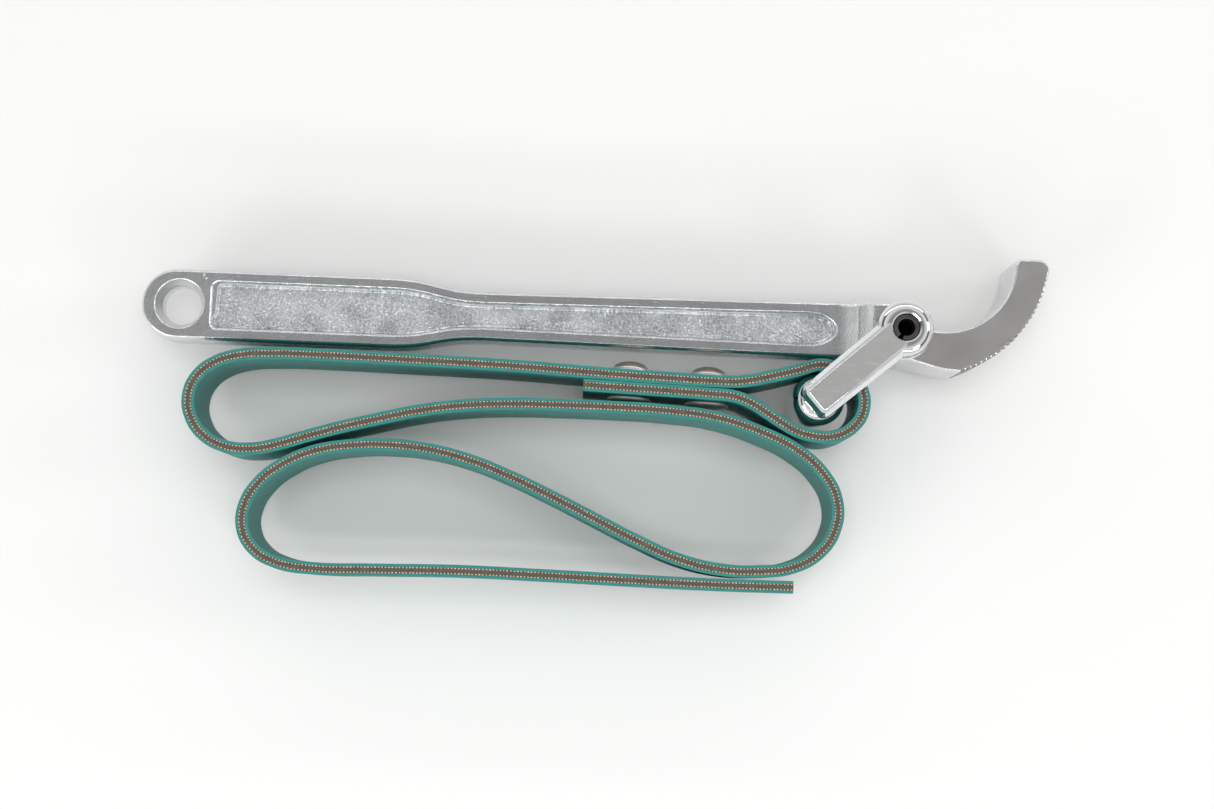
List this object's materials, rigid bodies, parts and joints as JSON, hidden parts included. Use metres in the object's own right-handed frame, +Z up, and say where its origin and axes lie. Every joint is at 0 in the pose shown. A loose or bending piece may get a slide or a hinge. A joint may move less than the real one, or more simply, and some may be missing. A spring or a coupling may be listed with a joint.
{
  "type": "strap wrench",
  "caption": "Strap wrench: forged handle with a toothed jaw, a swinging shackle on a pivot pin, and a flat laminated belt looped round the shackle's crossbar and riveted.",
  "frame": {"origin": "middle of the bounding box's lowest face, on the surface the tool lies on", "axes": "+X along the handle towards the jaw, +Y from the belt side across the handle, +Z up along the hinge axes"},
  "size_m": [0.2794, 0.1052, 0.039],
  "materials": {
    "forged_chrome": "chrome plate over a forging: bright flanges, pebbled panel floor, satin jaw sides",
    "polished_chrome": "mirror chrome plate",
    "pin_steel": "dark oxidised spring steel",
    "belt_rubber": "matt teal rubber with a fine lengthwise grain",
    "belt_core": "brown laminated tension core between fabric plies",
    "rivet_steel": "bright zinc-plated steel"
  },
  "bodies": {
    "handle": {"handle": "forged_chrome"},
    "shackle": {"shackle": "polished_chrome", "pivot_pin": "pin_steel"},
    "belt": {"belt_core": "belt_core", "belt_face_inner": "belt_rubber", "belt_face_outer": "belt_rubber", "belt_rivet_1": "rivet_steel", "rivet_washer_1": "rivet_steel", "belt_rivet_2": "rivet_steel", "rivet_washer_2": "rivet_steel"}
  },
  "joints": [
    {"name": "shackle_swing", "type": "hinge", "parent": "handle", "child": "shackle", "pos_m": [0.09468, 0.029, 0.0195], "axis": [0, 0, 1], "range_deg": [0, 75]},
    {"name": "belt_swivel", "type": "hinge", "parent": "shackle", "child": "belt", "pos_m": [0.06964, 0.0069, 0.0195], "axis": [0, 0, 1], "range_deg": [0, 20]}
  ]
}
